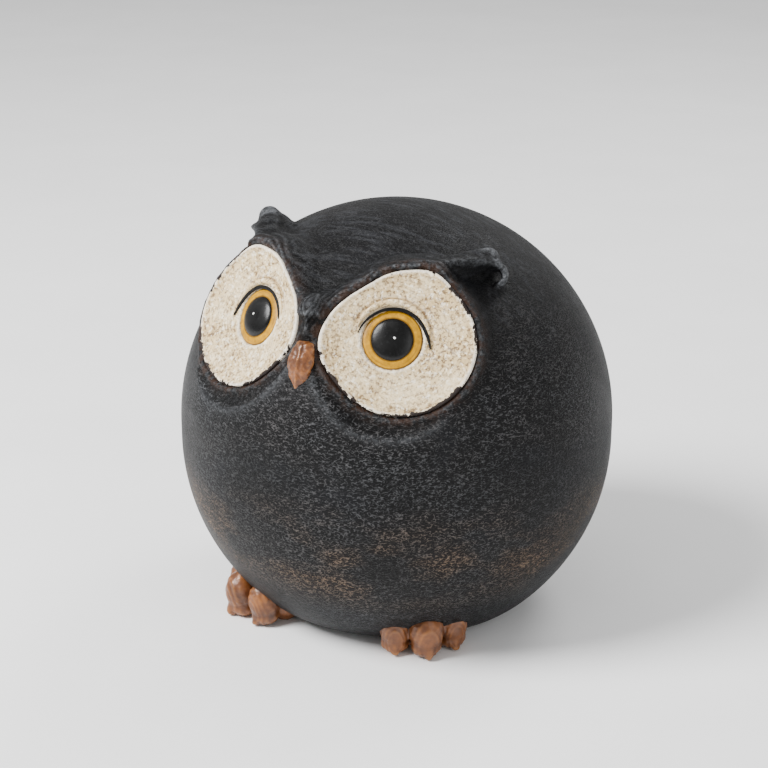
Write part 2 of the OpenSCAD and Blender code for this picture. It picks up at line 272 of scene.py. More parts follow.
def relief(piece, passes, full_mm):
    """Writes how far each point stands above or below its smoothed surroundings, as two attributes."""
    bm = bmesh.new()
    bm.from_mesh(piece.data)
    bm.verts.ensure_lookup_table()
    start = [v.co.copy() for v in bm.verts]
    normals = [v.normal.copy() for v in bm.verts]
    for _ in range(passes):
        bmesh.ops.smooth_vert(bm, verts=bm.verts, factor=0.5,
                              use_axis_x=True, use_axis_y=True, use_axis_z=True)
    proud = [(start[i] - v.co).dot(normals[i]) / (full_mm * MM) for i, v in enumerate(bm.verts)]
    bm.free()
    usual = sorted(proud)[len(proud) // 2]
    proud = [p - usual for p in proud]
    for name, sign in (("ridge", 1), ("crease", -1)):
        layer = piece.data.attributes.new(name, "FLOAT", "POINT")
        layer.data.foreach_set("value", [min(max(sign * p, 0), 1) for p in proud])
    print(f"{piece.name}: proudest {max(proud):.2f}, deepest {min(proud):.2f} of {full_mm} mm")

# %% [markdown]
# ### Charcoal body paint
# Satin acrylic on resin, close to black with a cool cast. Light grey grain lies all over it in
# short level strokes, tan across the belly and drawn out long on the crown. The clear coat of
# varnish is thin, so highlights are broad and soft.

# %% Charcoal paint
def scratches(tree, place, length_mm, width):
    """Thin wandering lines, about length_mm long: the places where a noise crosses its middle value."""
    field = grain(tree, place, length_mm, detail=1, rough=0.5)
    away = math_node(tree, "ABSOLUTE", math_node(tree, "SUBTRACT", field, 0.5))
    return ramp(tree, away, (0.0, 1.0), (width, 0.0))


def charcoal_paint():
    material, tree = new_material("charcoal_acrylic_dry_brushed")
    place = add(tree, "TexCoord").outputs["Object"]
    height = add(tree, "SeparateXYZ", Vector=place).outputs["Z"]
    level = add(tree, "Mapping", Vector=place, Scale=(1, 1, 2.0)).outputs["Vector"]
    mottle = grain(tree, place, 16, detail=3)
    cloud = grain(tree, level, 30, detail=3)
    worms = scratches(tree, level, 1.1, 0.075)
    broken = ramp(tree, grain(tree, level, 1.3, detail=2), (0.42, 0.0), (0.54, 1.0))
    strokes = math_node(tree, "MULTIPLY", worms, broken)
    # The brush missed the crown and the flanks in places
    missed = ramp(tree, grain(tree, place, 24, detail=3), (0.36, 0.55), (0.58, 1.0))
    strokes = math_node(tree, "MULTIPLY", strokes, missed)
    # Rubbed tan band across the belly: fullest about 65 mm up, gone at 30 mm and 100 mm
    low_share = math_node(tree, "DIVIDE", height, 0.12)
    band = ramp(tree, low_share, (0.24, 0.0), (0.46, 0.9), (0.58, 1.0), (0.84, 0.06))
    patchy = ramp(tree, cloud, (0.42, 0.05), (0.62, 1.0))
    band = math_node(tree, "MULTIPLY", band, patchy)
    ground = ramp(tree, mottle, (0.3, linear("#050506")), (0.55, linear("#09090a")),
                  (0.75, linear("#101114")))
    ground = mix(tree, math_node(tree, "MULTIPLY", band, 0.5), ground, linear("#1e140e"))
    # Long wiped streaks run across the crown, where the short strokes stop
    crown = ramp(tree, math_node(tree, "DIVIDE", height, 0.24), (0.66, 0.0), (0.82, 1.0))
    streaky = add(tree, "Mapping", Vector=place, Scale=(0.14, 1, 1)).outputs["Vector"]
    wiped = ramp(tree, grain(tree, streaky, 2.0, detail=4, rough=0.65), (0.50, 0.0), (0.64, 1.0))
    streaks = math_node(tree, "MULTIPLY", crown, wiped)
    ground = mix(tree, math_node(tree, "MULTIPLY", streaks, 0.7), ground,
                 linear("#2a2b2e"))
    strokes = math_node(tree, "MULTIPLY", strokes,
                        math_node(tree, "SUBTRACT", 1.0, math_node(tree, "MULTIPLY", crown, 0.75)))
    colour = mix(tree, math_node(tree, "MULTIPLY", strokes, 0.85), ground, linear("#515254"))
    tan = math_node(tree, "MULTIPLY", strokes, band)
    colour = mix(tree, math_node(tree, "MULTIPLY", tan, 0.8), colour, linear("#8c7054"))
    # The high brows were rubbed harder than the body below the discs
    ridge = math_node(tree, "MULTIPLY", attribute(tree, "ridge"),
                      ramp(tree, math_node(tree, "DIVIDE", height, 0.24), (0.60, 0.4), (0.74, 1.0)),
                      clamp=True)
    ridge = math_node(tree, "MULTIPLY", ridge,
                      ramp(tree, grain(tree, place, 0.9), (0.40, 0.15), (0.58, 1.0)))
    colour = mix(tree, ridge, colour, linear("#545659"))
    worn = math_node(tree, "MULTIPLY", attribute(tree, "worn"),
                     ramp(tree, grain(tree, place, 2.6, detail=4, rough=0.7), (0.44, 0.0), (0.56, 1.0)))
    colour = mix(tree, math_node(tree, "MULTIPLY", worn, 0.7), colour, linear("#352114"))
    # Hollows darkened to near black: partly dark wash, partly painted shade
    crease = math_node(tree, "MULTIPLY", attribute(tree, "crease"), 0.9, clamp=True)
    colour = mix(tree, crease, colour, linear("#040404"))
    dull = math_node(tree, "ADD", math_node(tree, "MULTIPLY", strokes, 0.5), mottle)
    rough = ramp(tree, dull, (0.3, 0.42), (0.9, 0.62))
    bump = math_node(tree, "ADD", math_node(tree, "MULTIPLY", worms, 0.5), grain(tree, level, 0.9, detail=2))
    surface(tree, colour, rough, bump, 0.45, IOR=1.5, Specular_IOR_Level=0.13)
    return material

# %% [markdown]
# ## Body
# The real body is one hollow casting. Its clay master was a ball with its foot cut flat, thickened
# into a round collar behind each face disc, and drawn forward over the discs into brows. Here the
# ball, the collars and the brows are separate closed forms, which `clay` joins into one skin.

# %% Outline of a face disc
def swell(angle, centre, width):
    """A smooth bump of height 1 round one direction, in degrees."""
    away = (math.degrees(angle) - centre + 180) % 360 - 180
    return math.exp(-(away / width) ** 2)


def outline(angle):
    """Radius of a disc's edge: drawn out towards the beak and the tuft, flattened under the brow."""
    return DISC_R + (3.8 * swell(angle, 182, 24) + 2.4 * swell(angle, 66, 15) - 3.2 * swell(angle, 123, 24)
                     - 1.2 * swell(angle, 262, 45) + 0.9 * swell(angle, 0, 30)) * MM


def dish_height(x, y):
    """Height of the hollow disc's surface out of the plane of its edge."""
    share = math.hypot(x, y) / outline(math.atan2(y, x))
    return -DISH * (1 - share ** 2.4)

# %% [markdown]
# ### The clay master
# A cast begins with a clay master. Here it is built up the same way: a ball, a cone for each
# collar, and rows of small balls for the brows and tufts. Balls that overlap are easy to place one
# by one, and the voxel remesh in `clay` presses them into one skin. The right side is the left one
# mirrored, apart from the tufts.

# %% Body master
def body_ball():
    bm = bmesh.new()
    bmesh.ops.create_uvsphere(bm, u_segments=160, v_segments=100, radius=BODY_R)
    soft = 2.6 * MM
    for v in bm.verts:
        v.co.z += BODY_MID + math.copysign(BELT / 2, v.co.z)
        lift = (v.co.z - BASE_Z) / soft
        v.co.z = BASE_Z + soft * (math.log1p(math.exp(lift)) if lift < 30 else lift)
    return bm


def add_form(bm, side, build, *sizes):
    """Builds a form in a face disc's axes and adds it to the body on one side."""
    form = bmesh.new()
    build(form, *sizes)
    mesh = bpy.data.meshes.new("form")
    form.to_mesh(mesh)
    form.free()
    mesh.transform(DISC if side == "left" else MIRROR @ DISC)
    if side == "right":
        mesh.flip_normals()
    bm.from_mesh(mesh)
    bpy.data.meshes.remove(mesh)


def collar(bm):
    """Round collar behind a disc, wider at the back so that it runs into the ball."""
    bmesh.ops.create_cone(bm, cap_ends=True, segments=96, radius1=52 * MM, radius2=40.5 * MM, depth=26 * MM,
                          matrix=Matrix.Translation((0, 0, -13.9 * MM)))
    for v in bm.verts:
        fit = outline(math.atan2(v.co.y, v.co.x)) / DISC_R
        v.co.x *= fit
        v.co.y *= fit


def brow_edge(angle, out):
    """Point out mm outside the disc's edge."""
    reach = outline(math.radians(angle)) / MM + out
    return reach * math.cos(math.radians(angle)), reach * math.sin(math.radians(angle))


def brow(bm):
    """Bank of clay along the disc's upper edge, sloping back to the ball row by row."""
    for row in range(5):
        for angle in range(62, 178, 3):
            thin = 1 - 0.35 * ease((angle - 130) / 48)
            x, y = brow_edge(angle, 2.4 + 1.1 * row)
            ball(bm, (x * MM, y * MM, (-0.6 - 3.4 * row) * MM), 2.6 * (1 + 0.2 * row) * thin * MM)


def tuft(bm, rise, curl):
    """Ear tuft: a thin band that runs on from the brow and a mound behind it, rise mm higher or lower."""
    band = [(14, 41, -1.5, 2.6), (20, 42.4, -4.5, 2.6), (27, 43.8, -8, 2.6), (34, 45.4, -12, 2.7),
            (40.5, 46.0, -15.5, 2.5), (46.5, 45.8, -18, 2.3)]
    if curl:
        # The band's end curls down into a thin wall that closes the hollow below it
        band += [(50.5, 43.0, -19, 1.9), (51.5, 39.5, -19.5, 1.6), (50, 36.5, -20, 1.5),
                 (47, 34.5, -20.5, 1.4)]
    for first, last in zip(band, band[1:]):
        for i in range(4):
            x, y, z, radius = Vector(first).lerp(Vector(last), i / 4)
            for back in range(3):
                ball(bm, Vector((x, y, z - 2.6 * back)) * MM, radius * (1 + 0.1 * back) * MM)
    mound = ((42, 50.5, -23, 6.4), (37, 49.0, -21, 6.6), (31, 46.5, -18, 6.6), (25, 43.5, -15, 6.6),
             (40, 47.5, -30, 7.5), (33, 45.0, -28, 8.5), (25, 42.0, -25, 8.5))
    for x, y, z, radius in mound:
        lift = rise * ease((x - 18) / 20)
        ball(bm, Vector((x, y + lift, z)) * MM, radius * MM)


CLAY = 1.6 * MM
master = body_ball()
for side in ("left", "right"):
    add_form(master, side, collar)
    add_form(master, side, brow)
# The two tufts were pulled by hand: the left one lies flatter and curls, the right one stands up
add_form(master, "left", tuft, -1.8, True)
add_form(master, "right", tuft, 3.5, False)
ball(master, (0, -86 * MM, BODY_MID + 84 * MM), (10 * MM, 14 * MM, 13 * MM))
skin = clay(master, CLAY, 2)
print("body skin:", len(skin.verts), "points")

# %% [markdown]
# ### Pockets for the discs
# Each disc lies in a shallow pocket, so the skin is pushed down under the disc. Outside its edge
# the skin is levelled, and it swells out again further away. Moving the vertices keeps the skin in
# one piece, where a boolean cut would leave a sharp wall.

# %% Pockets for the discs, then the last smoothing
to_disc = DISC.inverted()
def to_left_disc(place):
    """A point of either side in the left disc's axes, with its distance outside the disc's edge."""
    local = to_disc @ Vector((abs(place.x), place.y, place.z))
    return local, math.hypot(local.x, local.y) - outline(math.atan2(local.y, local.x))


def from_left_disc(local, side_of):
    place = DISC @ local
    return Vector((math.copysign(place.x, side_of.x), place.y, place.z))


for v in skin.verts:
    local, out = to_left_disc(v.co)
    if out < 0.3 * MM:
        local.z = min(local.z, dish_height(local.x, local.y) - 1.8 * MM)
        v.co = from_left_disc(local, v.co)
    elif out < 18 * MM and local.z > -6 * MM:
        # The body runs level with the disc's edge and swells out again further away
        swelling = -0.7 * MM + 6.5 * MM * ease((out - 3 * MM) / (20 * MM))
        if local.z > swelling and local.y < 12 * MM:
            local.z = swelling
            v.co = from_left_disc(local, v.co)
for _ in range(2):
    bmesh.ops.smooth_vert(skin, verts=skin.verts, factor=0.5,
                          use_axis_x=True, use_axis_y=True, use_axis_z=True)

# %% [markdown]
# ### Tool strokes and lip
# A modelling tool was drawn along the brows, and a lip of clay was left below each disc. Both are
# too fine for the remesh, so the skin is subdivided near the face only, and its vertices are then
# moved along their normals.

# %% Tool strokes along the brows and a lip round the discs
def brow_share(local, out):
    """How much a point lies on the brow."""
    turn = math.degrees(math.atan2(local.y, local.x))
    return (ease((turn - 40) / 18) * ease((190 - turn % 360) / 14) * ease(out / (1.5 * MM))
            * ease((26 * MM - out) / (10 * MM)))


def lip_share(local, out):
    """How much a point lies on the lip below the disc."""
    angle = math.atan2(local.y, local.x)
    low = max(swell(angle, 270, 52), swell(angle, 215, 30), 0.7 * swell(angle, 330, 30))
    return low * math.exp(-((out - 2.6 * MM) / (1.5 * MM)) ** 2)


# The tool strokes reach this far behind a disc's plane
FACE_DEPTH = 32 * MM


def near_face(v):
    local, out = to_left_disc(v.co)
    return local.z > -FACE_DEPTH and out > -1 * MM and (brow_share(local, out) > 0 or out < 7 * MM)


fine = {v for v in skin.verts if near_face(v)}
print("points near the face:", len(fine), "of", len(skin.verts))
bmesh.ops.subdivide_edges(skin, edges=[e for e in skin.edges if fine.issuperset(e.verts)], cuts=1,
                          use_grid_fill=True)
skin.normal_update()
for v in skin.verts:
    local, out = to_left_disc(v.co)
    if out < 0.3 * MM or local.z < -FACE_DEPTH:
        continue
    share = brow_share(local, out)
    sway = noise.noise(v.co / (16 * MM)) * 1.6 + noise.noise(v.co / (6 * MM)) * 0.35
    fade = 0.35 + 0.65 * ease(noise.noise(v.co / (11 * MM)) + 0.6)
    # They fade out down the back of the tuft
    fade *= ease((local.z + 14 * MM) / (8 * MM)) * ease((15 * MM - out) / (6 * MM))
    strands = math.sin(math.tau * (out / (3.1 * MM) + sway)) * 0.3 * share * fade
    lip = 1.15 * lip_share(local, out) if local.z > -8 * MM else 0
    v.co += v.normal * (strands + lip) * MM
body = finish_piece(skin, "body_casting", "body_shell")
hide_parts("brow_left", "brow_right")
worn_layer = body.data.attributes.new("worn", "FLOAT", "POINT")
for i, v in enumerate(body.data.vertices):
    local, out = to_left_disc(v.co)
    worn_layer.data[i].value = 1 - ease(abs(out) / (8 * MM)) if abs(local.z) < 14 * MM else 0
relief(body, 14, 0.5)
body.data.materials.append(charcoal_paint())

# %% [markdown]
# ### Cream disc paint
# Matt cream over brown. The cream went on in rings round the eye, a brown wash was wiped into
# the strokes, and the edge was rubbed until the dark ground showed in chips.

# %% Cream paint
def cream_paint():
    material, tree = new_material("cream_acrylic_brown_wash_and_painted_shade")
    place = add(tree, "TexCoord").outputs["Object"]
    edge = attribute(tree, "edge")
    cloud = grain(tree, place, 8, detail=4)
    rings = add(tree, "TexNoise", {"noise_dimensions": "3D"},
                Vector=add(tree, "Attribute", {"attribute_name": "ring_place"}).outputs["Vector"],
                Scale=1.0, Detail=3.0, Roughness=0.6).outputs["Fac"]
    colour = ramp(tree, cloud, (0.35, linear("#cbb07e")), (0.62, linear("#e8d3a8")))
    # Brown wash left in the fine pits, thicker where the cloud is dark and along the brush's rings
    pits = ramp(tree, grain(tree, place, 0.75, detail=2, rough=0.6), (0.50, 0.0), (0.60, 1.0))
    where = math_node(tree, "ADD", ramp(tree, cloud, (0.38, 1.0), (0.62, 0.25)),
                      ramp(tree, rings, (0.50, 0.0), (0.62, 0.6)), clamp=True)
    colour = mix(tree, math_node(tree, "MULTIPLY", math_node(tree, "MULTIPLY", pits, where), 0.95), colour,
                 linear("#6b5335"))
    colour = mix(tree, math_node(tree, "MULTIPLY", ramp(tree, rings, (0.52, 0.0), (0.60, 1.0)), 0.3), colour,
                 linear("#8a6f48"))
    lines = scratches(tree, place, 2.4, 0.03)
    colour = mix(tree, math_node(tree, "MULTIPLY", math_node(tree, "MULTIPLY", lines, where), 0.5), colour,
                 linear("#7b6448"))
    white = ramp(tree, grain(tree, place, 1.0, detail=2), (0.56, 0.0), (0.66, 1.0))
    colour = mix(tree, math_node(tree, "MULTIPLY", white, 0.65), colour, linear("#fff6e2"))
    # Hollows painted brown, such as the groove above each lid: partly brown wash, partly painted shade
    colour = mix(tree, math_node(tree, "MULTIPLY", attribute(tree, "crease"), 0.8, clamp=True), colour,
                 linear("#6d5239"))
    colour = mix(tree, math_node(tree, "MULTIPLY", attribute(tree, "ridge"), 0.6, clamp=True), colour,
                 linear("#fffaf0"))
    # Chips at the edge: the ground shows where a ragged noise beats the distance from the edge
    ragged = grain(tree, place, 2.6, detail=5, rough=0.7)
    chips = ramp(tree, math_node(tree, "ADD", math_node(tree, "MULTIPLY", edge, 0.62), ragged),
                 (0.99, 0.0), (1.03, 1.0))
    chips = mix(tree, 1.0, chips, ramp(tree, edge, (0.90, 0.0), (0.97, 1.0)), "LIGHTEN")
    colour = mix(tree, chips, colour, linear("#190d07"))
    rough = ramp(tree, cloud, (0.3, 0.55), (0.7, 0.72))
    bump = math_node(tree, "SUBTRACT", math_node(tree, "MULTIPLY", rings, 0.7),
                     math_node(tree, "MULTIPLY", pits, 0.35))
    surface(tree, colour, rough, bump, 0.35, IOR=1.48, Specular_IOR_Level=0.35)
    return material

# %% [markdown]
# ## Face discs
# Each disc is a shallow dish, turned about its own centre by spinning a section, then pulled to its
# true outline. The dish is what gives the owl its stare: the lower half faces the light and the
# upper half lies under the brow.

# %% Face discs
def spin_section(points, steps=144):
    """Closed solid of revolution about z from section points (radius, height) in metres."""
    bm = bmesh.new()
    chain = [bm.verts.new((r, 0, z)) for r, z in points]
    edges = [bm.edges.new(pair) for pair in zip(chain, chain[1:])]
    bmesh.ops.spin(bm, geom=chain + edges, cent=(0, 0, 0), axis=(0, 0, 1), angle=math.tau, steps=steps,
                   use_merge=True, use_duplicate=False)
    bmesh.ops.remove_doubles(bm, verts=bm.verts, dist=1e-6)
    bmesh.ops.recalc_face_normals(bm, faces=bm.faces)
    return bm


def place_side(bm, matrix, side):
    """Moves a piece to the left eye or disc, or to its mirror image."""
    full = matrix if side == "left" else MIRROR @ matrix
    bmesh.ops.transform(bm, matrix=full, verts=bm.verts)
    if side == "right":
        bmesh.ops.reverse_faces(bm, faces=bm.faces)


def disc_piece(side):
    rings = 76
    section = [(0, 0)] + [(DISC_R * i / rings, 0) for i in range(1, rings)]
    section += [(DISC_R * 1.0, -0.5 * MM), (DISC_R * 1.0, -4 * MM), (DISC_R * 0.9, -7 * MM), (0, -7 * MM)]
    bm = spin_section(section)
    for v in bm.verts:
        angle = math.atan2(v.co.y, v.co.x)
        share = v.co.xy.length / DISC_R
        fit = 1 + (outline(angle) / DISC_R - 1) * share
        top = v.co.z > -0.6 * MM
        v.co.x *= fit
        v.co.y *= fit
        if top:
            rim = math.exp(-((share - 0.965) / 0.03) ** 2) * 0.45 * MM
            eye = math.hypot(v.co.x + EYE_IN, v.co.y - EYE_UP)
            socket = -0.9 * MM * (1 - ease((eye - IRIS_R) / (1.0 * MM)))
            turn = math.degrees(math.atan2(v.co.y - EYE_UP, v.co.x + EYE_IN))
            above = ease((turn + 12) / 25) * ease((172 - turn) / 25)
            cheek = 0.3 * MM * math.exp(-((eye - IRIS_R - 1.6 * MM) / (1.1 * MM)) ** 2)
            cheek -= 0.55 * MM * above * math.exp(-((eye - IRIS_R - 5.6 * MM) / (0.9 * MM)) ** 2)
            wave = noise.noise(v.co / (7 * MM)) * 0.35 * MM + noise.noise(v.co / (2.5 * MM)) * 0.1 * MM
            v.co.z += dish_height(v.co.x, v.co.y) + rim + socket + cheek + wave * (1 - share ** 6)
    marks = [(min(1, v.co.xy.length / outline(math.atan2(v.co.y, v.co.x))), math.atan2(v.co.y, v.co.x),
              math.hypot(v.co.x + EYE_IN, v.co.y - EYE_UP)) for v in bm.verts]
    place_side(bm, DISC, side)
    piece = finish_piece(bm, f"disc_{side}", f"face_disc_{side}")
    edge = piece.data.attributes.new("edge", "FLOAT", "POINT")
    rings_place = piece.data.attributes.new("ring_place", "FLOAT_VECTOR", "POINT")
    for i, (share, angle, eye) in enumerate(marks):
        low = 0.62 + 0.38 * max(swell(angle, 300, 48), swell(angle, 215, 26), 0.8 * swell(angle, 20, 40))
        edge.data[i].value = ease((share - 0.86) / 0.14) * low
        rings_place.data[i].vector = (eye / MM * 0.9, math.cos(angle) * 3, math.sin(angle) * 3)
    relief(piece, 6, 0.25)
    piece.data.materials.append(CREAM)
    return piece


CREAM = cream_paint()
for side in ("left", "right"):
    disc_piece(side)

# %% [markdown]
# ## Eyelids and painted lashes
# A rounded roll of clay lies over the top of each eye and thins out at both ends. Along its lower
# side a single black brush line marks the lashes: it starts fine, swells over the eye and ends in
# a flick. Paint has almost no thickness, so the line is a ribbon 0.5 mm thick on the dish.

# %% Eyelids
def lid_piece(side):
    start, sweep = math.radians(-4), math.radians(166)
    bm = bmesh.new()
    bmesh.ops.create_circle(bm, segments=20, radius=1, cap_ends=True,
                            matrix=Matrix.Rotation(math.pi / 2, 4, "X"))
    bmesh.ops.spin(bm, geom=bm.faces[:], cent=(-12, 0, 0), axis=(0, 0, 1), angle=sweep, steps=56,
                   use_merge=False, use_duplicate=False)
    ring = 18.9 * MM
    for v in bm.verts:
        arm = Vector((v.co.x + 12, v.co.y))
        angle = math.atan2(arm.y, arm.x) % math.tau
        across, over = arm.length - 12, v.co.z
        share = angle / sweep
        full = max(0.12, math.sin(math.pi * min(max(share, 0), 1)) ** 0.6)
        radius = ring + across * 1.7 * MM * full
        place = Vector((radius * math.cos(start + angle), radius * math.sin(start + angle), 0))
        x, y = place.x - EYE_IN, place.y + EYE_UP
        v.co = (x, y, dish_height(x, y) + (over * 1.8 + 0.3) * MM * full)
    bmesh.ops.recalc_face_normals(bm, faces=bm.faces)
    place_side(bm, DISC, side)
    piece = finish_piece(bm, f"eyelid_roll_{side}", f"eyelid_{side}")
    piece.data.attributes.new("edge", "FLOAT", "POINT")
    piece.data.attributes.new("ring_place", "FLOAT_VECTOR", "POINT")
    relief(piece, 3, 0.4)
    piece.data.materials.append(CREAM)


for side in ("left", "right"):
    lid_piece(side)

# %% [markdown]
# ### Black line paint, gloss black and ochre
# The lash line is flat black. The pupils are lacquered, so they carry sharp highlights, with a
# little dust in the lacquer. The ochre ring is satin, with a darker line drawn at both its edges.

# %% Eye paints
def line_paint():
    material, tree = new_material("black_line_acrylic")
    place = add(tree, "TexCoord").outputs["Object"]
    thin = grain(tree, place, 0.8, detail=2)
    colour = ramp(tree, thin, (0.3, linear("#030303")), (0.75, linear("#0d0b0a")))
    surface(tree, colour, ramp(tree, thin, (0.3, 0.4), (0.7, 0.6)), thin, 0.1, IOR=1.48,
            Specular_IOR_Level=0.2)
    return material


def pupil_lacquer():
    material, tree = new_material("black_gloss_lacquer")
    place = add(tree, "TexCoord").outputs["Object"]
    dust = grain(tree, place, 0.8, detail=3, rough=0.7)
    cloud = grain(tree, place, 5, detail=3)
    colour = mix(tree, math_node(tree, "MULTIPLY", ramp(tree, dust, (0.55, 0.0), (0.72, 1.0)), 0.18),
                 ramp(tree, cloud, (0.3, linear("#020202")), (0.7, linear("#060606"))), linear("#3a3b3d"))
    rough = ramp(tree, cloud, (0.3, 0.22), (0.7, 0.38))
    surface(tree, colour, rough, dust, 0.06, IOR=1.5, Specular_IOR_Level=0.28)
    return material


def ochre_paint():
    material, tree = new_material("ochre_acrylic_satin")
    place = add(tree, "TexCoord").outputs["Object"]
    ring = attribute(tree, "ring")
    stroke = grain(tree, place, 2.2, detail=4, rough=0.7)
    colour = ramp(tree, stroke, (0.3, linear("#8a6200")), (0.55, linear("#b38000")),
                  (0.75, linear("#d09e0c")))
    edges = ramp(tree, ring, (0.0, 1.0), (0.10, 0.8), (0.20, 0.0), (0.84, 0.0), (0.93, 0.8), (1.0, 1.0))
    colour = mix(tree, math_node(tree, "MULTIPLY", edges, 0.85), colour, linear("#4a2e02"))
    middle = math_node(tree, "MULTIPLY", ramp(tree, ring, (0.48, 0.0), (0.58, 1.0), (0.70, 0.0)),
                       ramp(tree, grain(tree, place, 6, detail=3), (0.42, 0.0), (0.6, 1.0)))
    colour = mix(tree, math_node(tree, "MULTIPLY", middle, 0.6), colour, linear("#7a5203"))
    surface(tree, colour, ramp(tree, stroke, (0.3, 0.34), (0.7, 0.5)), stroke, 0.15, IOR=1.48,
            Specular_IOR_Level=0.25, Coat_Weight=0.05, Coat_Roughness=0.25)
    return material


LINE, LACQUER, OCHRE = line_paint(), pupil_lacquer(), ochre_paint()

# %% [markdown]
# ## Lash lines
# Each lash line is one stroke of a fine brush. A smooth curve through a few points gives its path,
# each point also gives the stroke's width there, and a thin grid bent along it gives the ribbon.

# %% Lash lines
LASH = ((-17.6, 3.0, 0.3), (-15.6, 6.8, 0.8), (-12.0, 10.9, 1.1), (-6.5, 14.3, 1.3), (-0.5, 15.6, 1.45),
        (5.5, 15.0, 1.5), (10.6, 12.4, 1.5), (14.4, 8.6, 1.55), (17.0, 4.2, 1.5), (18.6, 0.0, 1.25),
        (19.6, -4.4, 0.5))


def along(path, t):
    """Point and width at share t of a path, on a smooth curve through its points."""
    spot = t * (len(path) - 1)
    i = min(int(spot), len(path) - 2)
    f = spot - i
    p = [Vector(path[min(max(i + k, 0), len(path) - 1)]) for k in (-1, 0, 1, 2)]
    return 0.5 * (2 * p[1] + (p[2] - p[0]) * f + (2 * p[0] - 5 * p[1] + 4 * p[2] - p[3]) * f ** 2
                  + (3 * p[1] - p[0] - 3 * p[2] + p[3]) * f ** 3)


def lash_piece(side):
    bm = bmesh.new()
    bmesh.ops.create_grid(bm, x_segments=72, y_segments=3, size=0.5)
    for v in bm.verts:
        t, across = min(max(v.co.x + 0.5, 0), 1), v.co.y * 2
        here, ahead = along(LASH, t), along(LASH, min(t + 0.01, 1)) - along(LASH, max(t - 0.01, 0))
        side_step = Vector((-ahead.y, ahead.x)).normalized() * across * here.z * 0.62
        x = (here.x + side_step.x) * MM - EYE_IN
        y = (here.y + side_step.y) * MM + EYE_UP
        v.co = (x, y, dish_height(x, y) + 0.42 * MM)
    bmesh.ops.recalc_face_normals(bm, faces=bm.faces)
    bmesh.ops.solidify(bm, geom=bm.faces[:], thickness=0.5 * MM)
    bmesh.ops.recalc_face_normals(bm, faces=bm.faces)
    place_side(bm, DISC, side)
    piece = finish_piece(bm, f"lash_line_{side}", None)
    piece.data.materials.append(LINE)


for side in ("left", "right"):
    lash_piece(side)

# %% [markdown]
# ## Irises and pupils
# The ring and the dome are both round, so each is a section spun about the eye's axis. The white
# dot of painted light in the pupil is a separate drop of paint, a little off centre.

# %% Irises, pupils and painted lights
EYE_BED = -eye_depth


def iris_piece(side):
    rings = 14
    section = [(PUPIL_R - 0.6 * MM, EYE_BED - 1.4 * MM)]
    for i in range(rings + 1):
        share = i / rings
        r = PUPIL_R - 0.6 * MM + (IRIS_R - PUPIL_R + 0.6 * MM) * share
        section.append((r, EYE_BED + (0.75 - 0.9 * share ** 2.5) * MM))
    section += [(IRIS_R, EYE_BED - 1.4 * MM), section[0]]
    bm = spin_section(section)
    shares = [(v.co.xy.length - PUPIL_R) / (IRIS_R - PUPIL_R) for v in bm.verts]
    place_side(bm, EYE, side)
    piece = finish_piece(bm, f"iris_ring_{side}", f"iris_{side}")
    ring = piece.data.attributes.new("ring", "FLOAT", "POINT")
    ring.data.foreach_set("value", [min(max(s, 0), 1) for s in shares])
    piece.data.materials.append(OCHRE)


def pupil_piece(side):
    rings = 24
    section = [(0, EYE_BED + 3.2 * MM)]
    for i in range(1, rings + 1):
        lean = math.pi / 2 * i / rings
        section.append((PUPIL_R * math.sin(lean), EYE_BED + (0.5 + 2.7 * math.cos(lean) ** 0.9) * MM))
    section += [(PUPIL_R, EYE_BED - 1.0 * MM), (0, EYE_BED - 1.0 * MM)]
    bm = spin_section(section)
    place_side(bm, EYE, side)
    piece = finish_piece(bm, f"pupil_dome_{side}", f"pupil_{side}")
    piece.data.materials.append(LACQUER)


def light_dot(side):
    bm = bmesh.new()
    ball(bm, (1.4 * MM, 0.6 * MM, EYE_BED + 3.15 * MM), (0.75 * MM, 0.6 * MM, 0.28 * MM),
         Matrix.Rotation(math.radians(-35), 4, "Z"))
    for v in bm.verts:
        v.co.z -= 0.5 * MM * (v.co.xy.length / PUPIL_R) ** 2
    place_side(bm, EYE, side)
    piece = finish_piece(bm, f"light_dot_{side}", None)
    piece.data.materials.append(WHITE)


def white_dot_paint():
    material, tree = new_material("white_acrylic_dot")
    place = add(tree, "TexCoord").outputs["Object"]
    thin = grain(tree, place, 0.6, detail=2)
    surface(tree, ramp(tree, thin, (0.3, linear("#cfcfcc")), (0.6, linear("#f5f5f2"))), 0.4, thin, 0.05,
            IOR=1.48)
    return material


WHITE = white_dot_paint()
for side in ("left", "right"):
    iris_piece(side)
    pupil_piece(side)
    light_dot(side)

# %% [markdown]
# ### Copper paint
# Brown ground with copper bronzing rubbed over it. Raised edges are bright with rubbed bronzing and a
# painted highlight, and the grooves are dark with the ground and painted shade, so the colour follows the
# two relief attributes.

